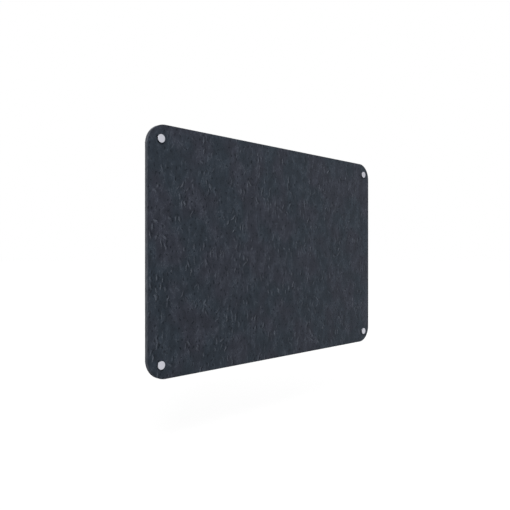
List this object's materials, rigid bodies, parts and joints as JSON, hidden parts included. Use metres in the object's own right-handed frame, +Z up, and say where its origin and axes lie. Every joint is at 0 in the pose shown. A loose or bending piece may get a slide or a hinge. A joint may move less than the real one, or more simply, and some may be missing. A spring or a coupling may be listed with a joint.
{
  "type": "pinboard",
  "caption": "Flat rectangular pinboard of thick dark pressed felt with rounded corners, held off the wall by turned metal stand-off fixings with round screw-on caps at its corners.",
  "frame": {"origin": "on the face of the wall, at the centre of the four fixings", "axes": "+Z up, the pinning face looks along -Y, +X to the right seen from the front"},
  "size_m": [0.9, 0.07, 0.6],
  "materials": {
    "felt": "matte",
    "aluminium": "satin",
    "clear_washer": "satin",
    "zinc_steel": "satin",
    "nylon": "satin"
  },
  "bodies": {
    "board_on_wall": {"felt_board": "felt", "rear_washer_top_left": "clear_washer", "barrel_top_left": "aluminium", "wall_screw_top_left": "zinc_steel", "wall_plug_top_left": "nylon", "rear_washer_top_right": "clear_washer", "barrel_top_right": "aluminium", "wall_screw_top_right": "zinc_steel", "wall_plug_top_right": "nylon", "rear_washer_bottom_left": "clear_washer", "barrel_bottom_left": "aluminium", "wall_screw_bottom_left": "zinc_steel", "wall_plug_bottom_left": "nylon", "rear_washer_bottom_right": "clear_washer", "barrel_bottom_right": "aluminium", "wall_screw_bottom_right": "zinc_steel", "wall_plug_bottom_right": "nylon"},
    "washer_top_left": {"front_washer_top_left": "clear_washer"},
    "cap_top_left": {"cap_top_left": "aluminium"},
    "washer_top_right": {"front_washer_top_right": "clear_washer"},
    "cap_top_right": {"cap_top_right": "aluminium"},
    "washer_bottom_left": {"front_washer_bottom_left": "clear_washer"},
    "cap_bottom_left": {"cap_bottom_left": "aluminium"},
    "washer_bottom_right": {"front_washer_bottom_right": "clear_washer"},
    "cap_bottom_right": {"cap_bottom_right": "aluminium"}
  },
  "joints": [
    {"name": "draw_top_left", "type": "slide", "parent": "board_on_wall", "child": "washer_top_left", "axis": [0, -1, 0], "range_m": [0, 0.007]},
    {"name": "unscrew_top_left", "type": "hinge", "parent": "washer_top_left", "child": "cap_top_left", "pos_m": [-0.415, -0.029, 0.265], "axis": [0, -1, 0], "range_deg": [0, 1680]},
    {"name": "draw_top_right", "type": "slide", "parent": "board_on_wall", "child": "washer_top_right", "axis": [0, -1, 0], "range_m": [0, 0.007]},
    {"name": "unscrew_top_right", "type": "hinge", "parent": "washer_top_right", "child": "cap_top_right", "pos_m": [0.415, -0.029, 0.265], "axis": [0, -1, 0], "range_deg": [0, 1680]},
    {"name": "draw_bottom_left", "type": "slide", "parent": "board_on_wall", "child": "washer_bottom_left", "axis": [0, -1, 0], "range_m": [0, 0.007]},
    {"name": "unscrew_bottom_left", "type": "hinge", "parent": "washer_bottom_left", "child": "cap_bottom_left", "pos_m": [-0.415, -0.029, -0.265], "axis": [0, -1, 0], "range_deg": [0, 1680]},
    {"name": "draw_bottom_right", "type": "slide", "parent": "board_on_wall", "child": "washer_bottom_right", "axis": [0, -1, 0], "range_m": [0, 0.007]},
    {"name": "unscrew_bottom_right", "type": "hinge", "parent": "washer_bottom_right", "child": "cap_bottom_right", "pos_m": [0.415, -0.029, -0.265], "axis": [0, -1, 0], "range_deg": [0, 1680]}
  ],
  "couplings": [
    {"joint": "unscrew_top_left", "follows": "draw_top_left", "rad_per_m": 4188.8},
    {"joint": "unscrew_top_right", "follows": "draw_top_right", "rad_per_m": 4188.8},
    {"joint": "unscrew_bottom_left", "follows": "draw_bottom_left", "rad_per_m": 4188.8},
    {"joint": "unscrew_bottom_right", "follows": "draw_bottom_right", "rad_per_m": 4188.8}
  ]
}
